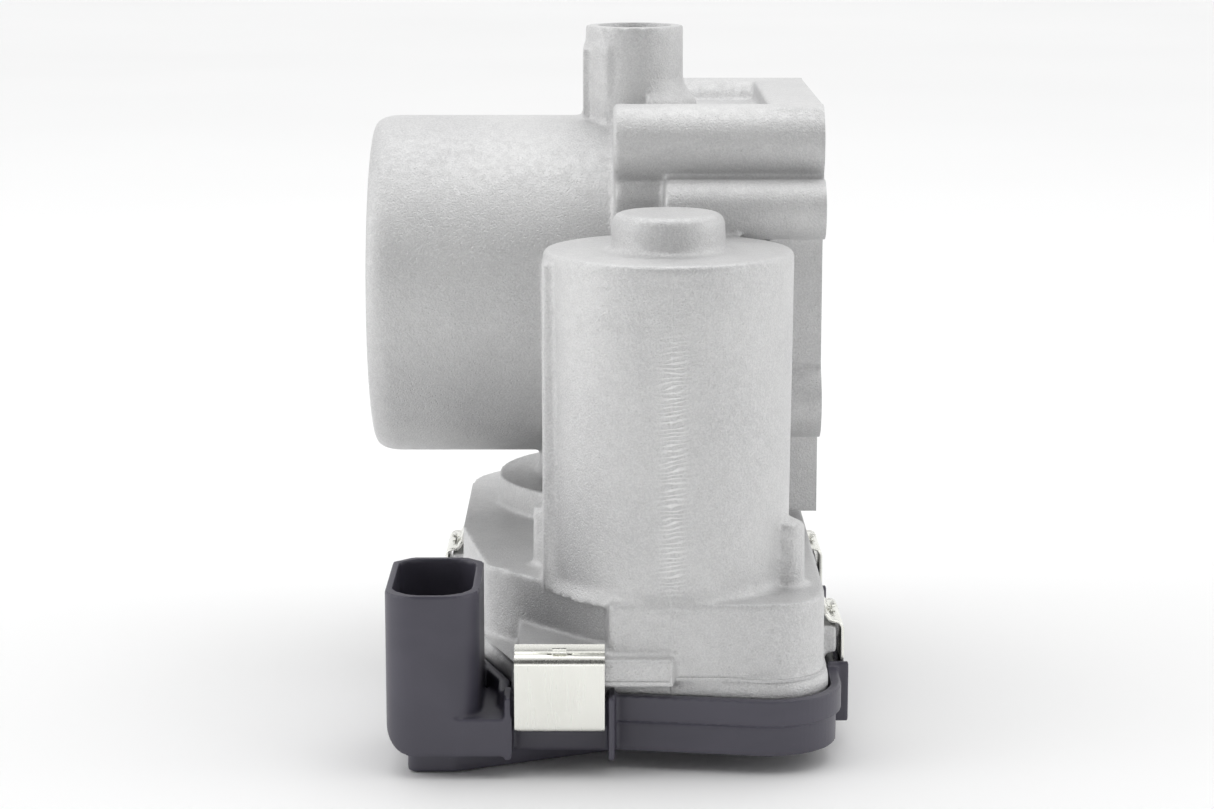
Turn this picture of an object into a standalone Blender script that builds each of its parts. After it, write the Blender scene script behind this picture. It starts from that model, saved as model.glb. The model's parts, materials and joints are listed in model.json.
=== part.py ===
"""Drive-by-wire throttle body: an aluminium casting with bore, shaft, plate, gear train, motor and gear cover.

Dimensions are millimetres in the design frame, whose origin is where the throttle shaft crosses the bore:
+X along the bore to the engine flange, +Y to the rear, +Z up the shaft. Meshes are turned into metres when
they are finished, and the whole model stands with the middle of its base at the world origin.
"""

import math

import bmesh
import bpy
from mathutils import Matrix, Vector

MM = 0.001
GAP = 0.3
RUNNING = 0.05

# Air duct and engine flange
BORE_RADIUS = 25.0
MOUTH_RADIUS = 27.0
DUCT_RADIUS = 30.0
DUCT_LIP_RADIUS = 28.2
DUCT_FACE_X = -46.0
FLANGE_FACE_X = 31.5
FLANGE_BACK_X = 22.5
FLANGE_TOP_Z = 34.3
BLOCK_TOP_Z = 34.1
STOCK = 1.0
FLANGE_BOTTOM_Z = -36.5
BODY_START_X = -3.8
BOLT_HALF_SPACING_Y = 28.0
BOLT_ROWS_Z = (28.0, -16.0)
BOLT_BOSS_RADIUS = 6.5
BOLT_HOLE_RADIUS = 3.25
TAPPED_HOLE_RADIUS = 2.5
TAPPED_HOLE_END_X = 12.0
SIDE_BOSS_CENTRE = (-35.0, 17.5)
SIDE_BOSS_RADIUS = 5.0
SIDE_BOSS_START_X = 4.75

# Throttle shaft and plate
SHAFT_RADIUS = 4.0
SHAFT_TOP_Z = 37.0
SHAFT_BOTTOM_Z = -58.6
SHAFT_BOSS_RADIUS = 8.6
SHAFT_BOSS_TOP_Z = 46.0
PLATE_RADIUS = 24.8
PLATE_THICKNESS = 2.0
REST_ANGLE = math.radians(7.0)
PLATE_SCREW_Z = (-12.0, 12.0)
UPPER_BEARING = (6.0, 28.6, 36.6)
LOWER_BEARING = (8.0, -38.2, -33.2)
UPPER_SEAL = (6.0, 26.1, 28.1)
LOWER_SEAL = (6.0, -32.7, -31.2)
END_PLUG = (6.0, 40.0, 42.0)

# Return springs round the lower bearing boss
POCKET_OUTER_RADIUS = 21.5
POCKET_ROOF_Z = -36.9
BEARING_BOSS_RADIUS = 10.0
SPRING_RADIUS = 13.6
SPRING_WIRE_RADIUS = 0.65
RETURN_SPRING_TOP_Z = -38.3
RETURN_SPRING_TURNS = 2.75
LIMP_SPRING_TOP_Z = -44.4
LIMP_SPRING_TURNS = 1.25
SPRING_PITCH = 1.6

# Gear case: outline corners are (x, y, corner radius), anticlockwise from the front right
CASE_TOP_Z = -40.0
CASE_ROOF_Z = -42.4
CASE_SHELF_Z = -48.0
CASE_LEDGE_Z = -51.9
CASE_FOOT_Z = -52.6
CASE_RIDGE_Z = -53.5
CASE_BOTTOM_Z = -55.8
CASE_WALL = 2.6
LEDGE_WALL = 4.0
LEDGE_FLOOR = 1.6
CAVITY_OVERLAP = 0.4
FRONT_BAR_DEPTH = 2.5
CASE_CORNERS = (
    (30.0, -75.3, 9.5),
    (30.0, 30.0, 22.0),
    (-30.0, 30.0, 15.0),
    (-30.0, -22.0, 8.0),
    (-25.0, -48.5, 3.0),
    (-4.7, -71.5, 2.0),
    (-4.7, -75.3, 1.0),
)
LEDGE_CORNERS = (
    (30.0, -77.5, 9.2),
    (30.0, 30.0, 22.0),
    (-30.0, 30.0, 15.0),
    (-30.0, -22.0, 8.0),
    (-25.0, -50.0, 3.0),
    (-19.4, -66.0, 3.0),
    (-19.4, -72.6, 1.0),
    (-3.0, -72.6, 4.0),
)
SHELF_CORNERS = ((-19.3, -74.5), (-3.5, -74.5), (-3.5, -70.0), (-19.3, -54.0))
POCKET_DISC_RADIUS = 24.4
POCKET_DISC_TOP_Z = -34.4
COLLAR_RADIUS = 17.0
COLLAR_TOP_Z = -23.3

# Motor housing
MOTOR_X = 5.0
MOTOR_Y = -55.0
MOTOR_TOP_Z = 13.6
MOTOR_TOP_RADIUS = 20.2
MOTOR_FOOT_RADIUS = 19.6
MOTOR_BORE_RADIUS = 17.6
MOTOR_BORE_TOP_Z = 8.9
MOTOR_CAP_RADIUS = 9.1
MOTOR_CAP_TOP_Z = 19.5
MOTOR_SCREW_OFFSET = (19.2, -6.4)
MOTOR_BOSS_RADIUS = 2.9
EDGE_STRIP_X = (-15.2, -9.0)
EDGE_STRIP_Y = (-58.0, -50.0)
WEB_X = (-15.2, 20.0)
WEB_Y = (-50.5, -20.0)
WEB_TOP_Z = 8.0
MOTOR_BOSS_TOP_Z = -30.0

# Motor
CAN_RADIUS = 17.3
CAN_WALL = 1.2
CAN_TOP_Z = 7.6
CAN_BOTTOM_Z = -41.9
ROTOR_SHAFT_RADIUS = 1.6
ROTOR_CORE_RADIUS = 12.4
ROTOR_CORE_Z = (-22.0, 0.0)
ROTOR_SLOTS = 10
COMMUTATOR_RADIUS = 5.0
COMMUTATOR_Z = (-36.0, -28.0)
MAGNET_RADII = (12.9, 15.8)
END_FRAME_Z = (-44.2, -42.7)

# Gear train: module, teeth and levels
PRESSURE_ANGLE = math.radians(20.0)
FIRST_MODULE = 1.0
FIRST_WHEEL_TEETH = 50
FIRST_PINION_TEETH = 12
SECOND_MODULE = 0.8
SECOND_WHEEL_TEETH = 49
SECOND_PINION_TEETH = 12
ADDENDUM = 0.75
DEDENDUM = 1.15
BACKLASH = 0.22
SECTOR_Z = (-52.5, -47.5)
SECTOR_TEETH_BEFORE = 12
SECTOR_TEETH_AFTER = 2
HUB_RADIUS = 8.8
HUB_Z = (-57.0, -43.0)
SMALL_WHEEL_Z = (-53.7, -46.6)
BIG_WHEEL_Z = (-58.1, -53.6)
ROTOR_PINION_Z = (-59.0, -53.2)
AXLE_RADIUS = 2.0
STOP_RADIUS = 1.9
STOP_ORBIT = 23.5
STOP_ANGLES = (14.0, 168.0)

# Gear cover
COVER_CLEARANCE = 0.4
COVER_WALL = 1.7
RIDGE_STEP = 0.7
LEDGE_STEP = 0.12
RIM_TOP_Z = -54.7
RIM_BOTTOM_Z = -59.0
COVER_FLOOR_Z = -62.0
COVER_BOTTOM_Z = -64.0
FOOT_BOTTOM_Z = -67.0
BAND_INSET = 0.8
FOOT_CORNERS = (
    (28.0, -51.0, 6.0),
    (28.0, 24.0, 18.0),
    (-26.0, 24.0, 12.0),
    (-31.0, -50.0, 4.0),
    (-36.5, -60.0, 4.0),
    (-36.5, -76.5, 3.0),
    (-29.0, -76.5, 3.0),
)

# Connector
CONNECTOR_X = (-39.8, -24.9)
CONNECTOR_Y = (-80.0, -54.0)
CONNECTOR_RIM_Z = -37.5
CONNECTOR_BOTTOM_Z = -63.4
CONNECTOR_WALL = 1.2
SOCKET_FLOOR_Z = -57.0
PIN_SIZE = (0.7, 1.5)
PIN_TOP_Z = -45.0
PIN_ROWS_X = (-34.5, -30.2)
PIN_COLUMNS_Y = (-72.5, -67.0, -61.5)
BRIDGE_TOP_Z = -57.3

# Spring clips: distance from the rim's outer face, then height
CLIP_THICKNESS = 0.5
CLIP_WIDTH = 14.2
CLIP_HALF_LUG = 7.6
CLIP_PATH = ((-0.5, -59.4), (0.95, -59.4), (0.95, -48.4), (0.2, -47.45), (-1.0, -47.6), (-1.9, -46.2))
LUG_Z = (-52.8, -48.2)
FRONT_CLIP_X = -12.3
RIGHT_CLIPS_Y = (-50.0, 0.0)
LEFT_CLIP_Y = 0.0
REAR_CLIP_X = 0.0
FRONT_BAR_X = (-19.4, 5.8)
RIB_THICKNESS = 1.2
SEAT_MARGIN = 0.3
SEAT_BACK = 1.2
SEAT_DROP = 0.2
RIB_OUT = 1.9
RIB_ROOT = -1.5
FRONT_RIB_ROOT = -5.0
RIB_Z = (-64.0, -54.0)

RIM_OUTSET = RIDGE_STEP + COVER_CLEARANCE + COVER_WALL
CASE_HALF_WIDTH = 30.0
CASE_FRONT_Y = -75.3
CASE_REAR_Y = 30.0

# World origin: the middle of the bounding box, on the plane of the cover's foot
OUTER_X = (DUCT_FACE_X, CASE_HALF_WIDTH + RIM_OUTSET + RIB_OUT)
OUTER_Y = (CASE_FRONT_Y - RIM_OUTSET - RIB_OUT, CASE_REAR_Y + RIM_OUTSET + RIB_OUT)
ORIGIN = Vector((sum(OUTER_X) / 2, sum(OUTER_Y) / 2, FOOT_BOTTOM_Z))

AXIS_TURNS = {"X": Matrix.Rotation(math.pi / 2, 4, "Y"), "Z": Matrix.Identity(4)}


# ---------------------------------------------------------------- scene and materials


def clear_scene():
    for obj in list(bpy.data.objects):
        bpy.data.objects.remove(obj)


def material(name, colour, metallic, roughness):
    made = bpy.data.materials.new(name)
    made.use_nodes = True
    shader = made.node_tree.nodes["Principled BSDF"]
    shader.inputs["Base Color"].default_value = (*colour, 1.0)
    shader.inputs["Metallic"].default_value = metallic
    shader.inputs["Roughness"].default_value = roughness
    return made


def empty(name, place):
    """An empty on a joint's axis, at a place in the design frame."""
    made = bpy.data.objects.new(name, None)
    bpy.context.scene.collection.objects.link(made)
    made.location = (Vector(place) - ORIGIN) * MM
    bpy.context.view_layer.update()
    return made


def finish(obj, name, look, parent):
    """Names a finished solid, puts its origin on its parent's and turns its millimetres into metres."""
    pivot = parent.matrix_world.translation / MM + ORIGIN
    obj.name = name
    obj.data.name = name
    obj.data.transform(Matrix.Scale(MM, 4) @ Matrix.Translation(-pivot))
    obj.data.materials.clear()
    obj.data.materials.append(look)
    obj.data.shade_smooth()
    obj.data.set_sharp_from_angle(angle=math.radians(35))
    obj.parent = parent
    return obj


# ---------------------------------------------------------------- solids, in millimetres


def solid(shape):
    """An object from a closed bmesh, with its faces turned outwards."""
    bmesh.ops.remove_doubles(shape, verts=shape.verts, dist=0.0005)
    bmesh.ops.recalc_face_normals(shape, faces=shape.faces)
    mesh = bpy.data.meshes.new("solid")
    shape.to_mesh(mesh)
    shape.free()
    made = bpy.data.objects.new("solid", mesh)
    bpy.context.scene.collection.objects.link(made)
    return made


def prism(outline, start, end, axis="Z"):
    """The outline pushed from start to end. Along X, the outline is (y, z)."""
    shape = bmesh.new()
    if axis == "Z":
        corners = [shape.verts.new((a, b, start)) for a, b in outline]
        push = Vector((0, 0, end - start))
    elif axis == "X":
        corners = [shape.verts.new((start, a, b)) for a, b in outline]
        push = Vector((end - start, 0, 0))
    else:
        corners = [shape.verts.new((a, start, b)) for a, b in outline]
        push = Vector((0, end - start, 0))
    face = shape.faces.new(corners)
    pushed = bmesh.ops.extrude_face_region(shape, geom=[face])
    moved = [item for item in pushed["geom"] if isinstance(item, bmesh.types.BMVert)]
    bmesh.ops.translate(shape, verts=moved, vec=push)
    return solid(shape)


def box(x, y, z):
    return prism([(x[0], y[0]), (x[1], y[0]), (x[1], y[1]), (x[0], y[1])], z[0], z[1])


def turned(profile, centre=(0, 0), axis="Z", segments=48, start=0.0, sweep=2 * math.pi):
    """A closed (radius, height) profile turned about the axis through centre."""
    shape = bmesh.new()
    corners = [shape.verts.new((radius, 0, height)) for radius, height in profile]
    sides = [pair for pair in zip(corners, corners[1:] + corners[:1]) if pair[0].co.x + pair[1].co.x > 0]
    edges = [shape.edges.new(pair) for pair in sides]
    full = sweep > 2 * math.pi - 0.001
    bmesh.ops.spin(
        shape, geom=corners + edges, cent=(0, 0, 0), axis=(0, 0, 1), angle=sweep, steps=segments, use_merge=full
    )
    if not full:
        bmesh.ops.holes_fill(shape, edges=[edge for edge in shape.edges if edge.is_boundary], sides=0)
    made = solid(shape)
    made.data.transform(Matrix.Rotation(start, 4, "Z"))
    made.data.transform(AXIS_TURNS[axis])
    place = (centre[0], centre[1], 0) if axis == "Z" else (0, centre[0], centre[1])
    made.data.transform(Matrix.Translation(place))
    return made


def rod(radius, start, end, centre=(0, 0), axis="Z", segments=32):
    return turned([(0, start), (radius, start), (radius, end), (0, end)], centre, axis, segments)


def tube(inner, outer, start, end, centre=(0, 0), axis="Z", segments=32):
    return turned([(inner, start), (outer, start), (outer, end), (inner, end)], centre, axis, segments)


def combine(target, tools, operation):
    """Joins or cuts the target with all the tools at once, and removes them."""
    group = bpy.data.collections.new("tools")
    for tool in tools:
        group.objects.link(tool)
    modifier = target.modifiers.new(operation, "BOOLEAN")
    modifier.operation = operation
    modifier.operand_type = "COLLECTION"
    modifier.collection = group
    evaluated = target.evaluated_get(bpy.context.evaluated_depsgraph_get())
    mesh = bpy.data.meshes.new_from_object(evaluated)
    target.modifiers.clear()
    target.data = mesh
    for tool in list(group.objects):
        bpy.data.objects.remove(tool)
    bpy.data.collections.remove(group)
    return target


def join(target, *tools):
    return combine(target, tools, "UNION")


def cut(target, *tools):
    return combine(target, tools, "DIFFERENCE")


# ---------------------------------------------------------------- outlines


def offset_corners(corners, distance):
    """The corners of an anticlockwise outline, moved outwards by a distance."""
    moved = []
    for index, (x, y, radius) in enumerate(corners):
        here = Vector((x, y))
        before = (here - Vector(corners[index - 1][:2])).normalized()
        after = (Vector(corners[(index + 1) % len(corners)][:2]) - here).normalized()
        turn = before.cross(after)
        reach = distance * (after - before) / turn
        sign = 1 if turn > 0 else -1
        moved.append((x - reach.x, y - reach.y, max(radius + sign * distance, 0.4)))
    return moved


def rounded(corners, step=math.radians(15)):
    """Outline points with each corner replaced by an arc of its radius."""
    points = []
    for index, (x, y, radius) in enumerate(corners):
        here = Vector((x, y))
        before = (Vector(corners[index - 1][:2]) - here).normalized()
        after = (Vector(corners[(index + 1) % len(corners)][:2]) - here).normalized()
        half = before.angle(after) / 2
        centre = here + (before + after).normalized() * radius / math.sin(half)
        first = here + before * radius / math.tan(half) - centre
        sweep = first.angle_signed(here + after * radius / math.tan(half) - centre)
        count = max(1, round(abs(sweep) / step)) if radius > 0.9 else 2
        for number in range(count + 1):
            spoke = first.copy()
            spoke.rotate(Matrix.Rotation(-sweep * number / count, 2))
            points.append(tuple(centre + spoke))
    return points


def outline(corners, distance=0.0):
    return rounded(offset_corners(corners, distance))


def ribbon(path, thickness):
    """The outline of a bent strip of even thickness that follows a path."""
    sides = ([], [])
    for index, place in enumerate(path):
        here = Vector(place)
        before = (here - Vector(path[index - 1])).normalized() if index else None
        after = (Vector(path[index + 1]) - here).normalized() if index + 1 < len(path) else before
        before = before or after
        normal = Vector((-(before + after).y, (before + after).x)).normalized()
        reach = thickness / 2 / normal.dot(Vector((-after.y, after.x)))
        for side, sign in zip(sides, (1, -1)):
            side.append(tuple(here + normal * reach * sign))
    return sides[0] + sides[1][::-1]


def involute(angle):
    return math.tan(angle) - angle


def tooth(teeth, module, centre_angle):
    """The points of one tooth of a spur gear, anticlockwise, from root to root."""
    pitch = teeth * module / 2
    base = pitch * math.cos(PRESSURE_ANGLE)
    tip = pitch + ADDENDUM * module
    root = pitch - DEDENDUM * module
    half_pitch = math.pi / (2 * teeth) - BACKLASH / 4 / pitch
    radii = (max(base, root), pitch, tip)
    flank = [(root, half_pitch + involute(PRESSURE_ANGLE))] if root < base else []
    for radius in radii:
        flank.append((radius, half_pitch + involute(PRESSURE_ANGLE) - involute(math.acos(min(1, base / radius)))))
    spokes = [(radius, centre_angle - half) for radius, half in flank]
    spokes += [(radius, centre_angle + half) for radius, half in reversed(flank)]
    return [(radius * math.cos(angle), radius * math.sin(angle)) for radius, angle in spokes]


def gear(teeth, module, centre_angle, z, centre, numbers=None):
    """A spur gear, or the sector that holds the numbered teeth, with tooth 0 centred on an angle."""
    points = []
    for number in numbers or range(teeth):
        points += tooth(teeth, module, centre_angle + number * 2 * math.pi / teeth)
    if numbers:
        points.append((0, 0))
    return prism([(x + centre[0], y + centre[1]) for x, y in points], *z)


def polar(centre, radius, angle):
    return (centre[0] + radius * math.cos(angle), centre[1] + radius * math.sin(angle))


def intermediate_centre():
    """Where the intermediate axle must stand so that both gear pairs mesh."""
    first = FIRST_MODULE * (FIRST_WHEEL_TEETH + FIRST_PINION_TEETH) / 2
    second = SECOND_MODULE * (SECOND_WHEEL_TEETH + SECOND_PINION_TEETH) / 2
    span = math.hypot(MOTOR_X, MOTOR_Y)
    along = (first**2 - second**2 + span**2) / (2 * span)
    aside = math.sqrt(first**2 - along**2)
    unit = Vector((MOTOR_X, MOTOR_Y)) / span
    return unit * along + Vector((unit.y, -unit.x)) * aside


MOTOR = Vector((MOTOR_X, MOTOR_Y))
INTERMEDIATE = intermediate_centre()
TO_INTERMEDIATE = math.atan2(INTERMEDIATE.y, INTERMEDIATE.x)
TO_MOTOR = math.atan2(*reversed(MOTOR - INTERMEDIATE))


# ---------------------------------------------------------------- clips and their lugs


def clip_places():
    """Each clip's name, the middle of the rim's outer face there, and the direction out of the rim."""
    side = CASE_HALF_WIDTH + RIM_OUTSET
    return (
        ("clip_front", (FRONT_CLIP_X, CASE_FRONT_Y - RIM_OUTSET), -90),
        ("clip_right_front", (side, RIGHT_CLIPS_Y[0]), 0),
        ("clip_right_rear", (side, RIGHT_CLIPS_Y[1]), 0),
        ("clip_left", (-side, LEFT_CLIP_Y), 180),
        ("clip_rear", (REAR_CLIP_X, CASE_REAR_Y + RIM_OUTSET), 90),
    )


def place_clip_shape(obj, place, heading):
    obj.data.transform(Matrix.Rotation(math.radians(heading), 4, "Z"))
    obj.data.transform(Matrix.Translation((*place, 0)))
    return obj


def clip(place, heading):
    strip = prism(ribbon(CLIP_PATH, CLIP_THICKNESS), -CLIP_WIDTH / 2, CLIP_WIDTH / 2, "Y")
    return place_clip_shape(strip, place, heading)


def housing_lug(place, heading):
    lug = box((-RIM_OUTSET - 2.0, 0.0), (-CLIP_HALF_LUG, CLIP_HALF_LUG), LUG_Z)
    return place_clip_shape(lug, place, heading)


def cover_ribs(name, place, heading):
    """The two upright ribs of the cover that keep a clip from sliding sideways."""
    root = FRONT_RIB_ROOT if name == "clip_front" else RIB_ROOT
    for side in (-1, 1):
        middle = side * (CLIP_HALF_LUG + RIB_THICKNESS / 2)
        width = (middle - RIB_THICKNESS / 2, middle + RIB_THICKNESS / 2)
        yield place_clip_shape(box((root, RIB_OUT), width, RIB_Z), place, heading)


# ---------------------------------------------------------------- casting


def duct():
    profile = [(0, DUCT_FACE_X), (DUCT_LIP_RADIUS, DUCT_FACE_X), (DUCT_RADIUS - 0.4, DUCT_FACE_X + 2.2)]
    profile += [(DUCT_RADIUS, DUCT_FACE_X + 4.5), (DUCT_RADIUS, FLANGE_BACK_X + 1), (0, FLANGE_BACK_X + 1)]
    return turned(profile, axis="X", segments=60)


def duct_bore():
    profile = [(0, DUCT_FACE_X - 1), (MOUTH_RADIUS, DUCT_FACE_X - 1), (BORE_RADIUS, DUCT_FACE_X + 16)]
    profile += [(BORE_RADIUS, FLANGE_FACE_X + 1), (0, FLANGE_FACE_X + 1)]
    return turned(profile, axis="X", segments=60)


def flange():
    upper = [(31.0, FLANGE_TOP_Z), (31.0, -10.0), (24.6, -21.0), (24.6, FLANGE_BOTTOM_Z)]
    return prism(upper + [(-y, z) for y, z in reversed(upper)], FLANGE_BACK_X, FLANGE_FACE_X + STOCK, "X")


def upper_block():
    upper = [(30.4, BLOCK_TOP_Z), (30.4, 19.0), (25.5, 7.0)]
    mirrored = [(-y, z) for y, z in reversed(upper)]
    return prism(upper + mirrored, BODY_START_X + 0.3, FLANGE_FACE_X - 1, "X")


def bolt_places():
    return [(side * BOLT_HALF_SPACING_Y, z) for side in (-1, 1) for z in BOLT_ROWS_Z]


def bolt_bosses():
    for y, z in bolt_places():
        start = BODY_START_X if z > 0 else 8.0
        yield rod(BOLT_BOSS_RADIUS, start, FLANGE_FACE_X + 2 * STOCK, (y, z), "X")


def side_boss():
    y, z = SIDE_BOSS_CENTRE
    start, end = SIDE_BOSS_START_X, FLANGE_FACE_X + 3 * STOCK
    half_height = SIDE_BOSS_RADIUS - 0.1
    root = box((start + 0.2, end - 0.2), (y, -27.0), (z - half_height, z + half_height))
    return rod(SIDE_BOSS_RADIUS, start, end, (y, z), "X", 24), root


def flange_facing():
    """The stock that is machined off to make the engine flange flat."""
    return box((FLANGE_FACE_X, FLANGE_FACE_X + 9), (-50.0, 50.0), (-39.0, 50.0))


def shaft_bosses():
    rib = box((-9.1, -3.0), (-4.5, 4.5), (28.0, 42.0))
    disc = rod(POCKET_DISC_RADIUS, CASE_TOP_Z - 1, POCKET_DISC_TOP_Z, segments=48)
    collar = rod(COLLAR_RADIUS, POCKET_DISC_TOP_Z - 1, COLLAR_TOP_Z, segments=40)
    return rod(SHAFT_BOSS_RADIUS, 27.0, SHAFT_BOSS_TOP_Z), rib, disc, collar


def motor_housing():
    profile = [(0, CASE_TOP_Z - 1), (MOTOR_FOOT_RADIUS, CASE_TOP_Z - 1), (MOTOR_TOP_RADIUS, MOTOR_TOP_Z - 1.2)]
    profile += [(MOTOR_TOP_RADIUS - 1.2, MOTOR_TOP_Z), (MOTOR_CAP_RADIUS, MOTOR_TOP_Z)]
    profile += [(MOTOR_CAP_RADIUS, MOTOR_CAP_TOP_Z - 1), (MOTOR_CAP_RADIUS - 1, MOTOR_CAP_TOP_Z)]
    shape = turned(profile + [(0, MOTOR_CAP_TOP_Z)], MOTOR, segments=56)
    edge_strip = box(EDGE_STRIP_X, EDGE_STRIP_Y, (CASE_TOP_Z - 1, MOTOR_TOP_Z - 3))
    web = box(WEB_X, WEB_Y, (CASE_TOP_Z - 1, WEB_TOP_Z))
    bosses = [rod(MOTOR_BOSS_RADIUS, CASE_TOP_Z - 1, MOTOR_BOSS_TOP_Z, place, segments=20) for place in motor_screws()]
    return shape, edge_strip, web, *bosses


def motor_screws():
    return [MOTOR + Vector(MOTOR_SCREW_OFFSET) * side for side in (-1, 1)]


def shaft_bores():
    """The stepped hole for the shaft, its bearings, seals and end plug."""
    hole = SHAFT_RADIUS + RUNNING
    upper = UPPER_BEARING[0] + 0.15
    lower = LOWER_BEARING[0] + 0.15
    seal = LOWER_SEAL[0] + 0.15
    profile = [(0, CASE_ROOF_Z - 1), (lower, CASE_ROOF_Z - 1), (lower, LOWER_BEARING[2] + 0.25)]
    profile += [(seal, LOWER_BEARING[2] + 0.25), (seal, LOWER_SEAL[2] + 0.3), (hole, LOWER_SEAL[2] + 0.3)]
    profile += [(hole, UPPER_SEAL[1] - 0.3), (upper, UPPER_SEAL[1] - 0.3), (upper, SHAFT_BOSS_TOP_Z + 1)]
    return turned(profile + [(0, SHAFT_BOSS_TOP_Z + 1)], segments=32)


def motor_bore():
    profile = [(0, CASE_ROOF_Z - 1), (MOTOR_BORE_RADIUS, CASE_ROOF_Z - 1), (MOTOR_BORE_RADIUS, MOTOR_BORE_TOP_Z)]
    return turned(profile + [(5.4, MOTOR_BORE_TOP_Z), (5.4, 15.0), (0, 15.0)], MOTOR, segments=48)


def housing_cuts():
    yield flange_facing()
    yield gear_cavity()
    yield tube(BEARING_BOSS_RADIUS, POCKET_OUTER_RADIUS, CASE_ROOF_Z - 1, POCKET_ROOF_Z, segments=56)
    yield duct_bore()
    yield shaft_bores()
    yield motor_bore()
    yield rod(AXLE_RADIUS + 0.1, -46.8, CASE_TOP_Z - 1.2, INTERMEDIATE, segments=24)
    for y, z in bolt_places():
        if z > 0:
            yield rod(BOLT_HOLE_RADIUS, BODY_START_X - 1, FLANGE_FACE_X + 1, (y, z), "X", 20)
        else:
            yield rod(TAPPED_HOLE_RADIUS, TAPPED_HOLE_END_X, FLANGE_FACE_X + 1, (y, z), "X", 20)
    for place in motor_screws():
        yield rod(1.6, CASE_ROOF_Z - 1, -33.0, place, segments=16)


def gear_cavity():
    """The room for the gears, which spares the axle's boss and the two stops under the roof."""
    axle_boss = rod(4.2, -45.8, CASE_ROOF_Z + 1, INTERMEDIATE, segments=24)
    stop_places = [polar((0, 0), STOP_ORBIT, math.radians(angle)) for angle in STOP_ANGLES]
    stops = [rod(STOP_RADIUS, SECTOR_Z[0], CASE_ROOF_Z + 1, place, segments=16) for place in stop_places]
    upper = prism(outline(CASE_CORNERS, -CASE_WALL), CASE_FOOT_Z + LEDGE_FLOOR, CASE_ROOF_Z)
    lower = prism(outline(LEDGE_CORNERS, -LEDGE_WALL), CASE_BOTTOM_Z - 1, CASE_FOOT_Z + LEDGE_FLOOR + CAVITY_OVERLAP)
    return cut(join(upper, lower), axle_boss, *stops)


def throttle_housing():
    case = prism(outline(CASE_CORNERS), CASE_FOOT_Z, CASE_TOP_Z)
    shelf = prism(SHELF_CORNERS, CASE_FOOT_Z - 0.1, CASE_SHELF_Z)
    ledge = prism(outline(LEDGE_CORNERS, LEDGE_STEP), CASE_RIDGE_Z - 1, CASE_LEDGE_Z)
    ridge = prism(outline(LEDGE_CORNERS, RIDGE_STEP), CASE_BOTTOM_Z, CASE_RIDGE_Z)
    bar = box(FRONT_BAR_X, (CASE_FRONT_Y - RIM_OUTSET, CASE_FRONT_Y + FRONT_BAR_DEPTH), LUG_Z)
    lugs = [housing_lug(place, heading) for name, place, heading in clip_places()[1:]]
    duct_side = [upper_block(), flange(), *bolt_bosses(), *side_boss(), *shaft_bosses()]
    body = join(duct(), *duct_side, *motor_housing(), case, shelf, ledge, ridge, bar, *lugs)
    return cut(body, *housing_cuts())


# ---------------------------------------------------------------- cover and connector


def connector_corners():
    """A shell with a rounded front end and chamfered rear corners."""
    left, right = CONNECTOR_X
    front, rear = CONNECTOR_Y
    chamfer = 3.0
    return (
        (right, front, 5.5),
        (right, rear - chamfer, 1.0),
        (right - chamfer, rear, 1.0),
        (left + chamfer, rear, 1.0),
        (left, rear - chamfer, 1.0),
        (left, front, 5.5),
    )


def pin_holes():
    for x in PIN_ROWS_X:
        for y in PIN_COLUMNS_Y:
            half_x = PIN_SIZE[0] / 2 + 0.1
            half_y = PIN_SIZE[1] / 2 + 0.1
            yield box((x - half_x, x + half_x), (y - half_y, y + half_y), (SOCKET_FLOOR_Z - 1.6, SOCKET_FLOOR_Z + 1))


def gear_cover():
    inner = RIDGE_STEP + COVER_CLEARANCE
    rim = prism(outline(LEDGE_CORNERS, RIM_OUTSET), RIM_BOTTOM_Z, RIM_TOP_Z)
    band = prism(outline(LEDGE_CORNERS, RIM_OUTSET - BAND_INSET), COVER_BOTTOM_Z, RIM_BOTTOM_Z + 1)
    foot = prism(outline(FOOT_CORNERS), FOOT_BOTTOM_Z, COVER_BOTTOM_Z + 1)
    shell = prism(outline(connector_corners()), CONNECTOR_BOTTOM_Z, CONNECTOR_RIM_Z)
    bridge = box((-33.0, -19.8), (CONNECTOR_Y[0], -62.0), (CONNECTOR_BOTTOM_Z, BRIDGE_TOP_Z))
    half_seat = CLIP_HALF_LUG + SEAT_MARGIN
    seat_x = (FRONT_CLIP_X - half_seat, FRONT_CLIP_X + half_seat)
    seat = box(seat_x, (CASE_FRONT_Y - RIM_OUTSET, CASE_FRONT_Y + SEAT_BACK), (RIM_BOTTOM_Z, RIM_TOP_Z - SEAT_DROP))
    ribs = [rib for name, place, heading in clip_places() for rib in cover_ribs(name, place, heading)]
    body = join(rim, band, foot, shell, bridge, seat, *ribs)
    upper_cavity = prism(outline(LEDGE_CORNERS, inner), CASE_BOTTOM_Z - 0.9, RIM_TOP_Z + 1)
    lower_cavity = prism(outline(LEDGE_CORNERS, -1.2), COVER_FLOOR_Z, CASE_BOTTOM_Z)
    socket = prism(outline(connector_corners(), -CONNECTOR_WALL), SOCKET_FLOOR_Z, CONNECTOR_RIM_Z + 1)
    cut(body, upper_cavity, lower_cavity, socket, *pin_holes())
    post = tube(AXLE_RADIUS + 0.1, 4.2, COVER_FLOOR_Z - 0.5, BIG_WHEEL_Z[0] - 0.7, INTERMEDIATE, segments=24)
    return join(body, post)


def cover_seal():
    shape = prism(outline(LEDGE_CORNERS, 0.3), CASE_BOTTOM_Z - 0.65, CASE_BOTTOM_Z - 0.25)
    return cut(shape, prism(outline(LEDGE_CORNERS, -0.9), CASE_BOTTOM_Z - 2, CASE_BOTTOM_Z + 1))


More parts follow.
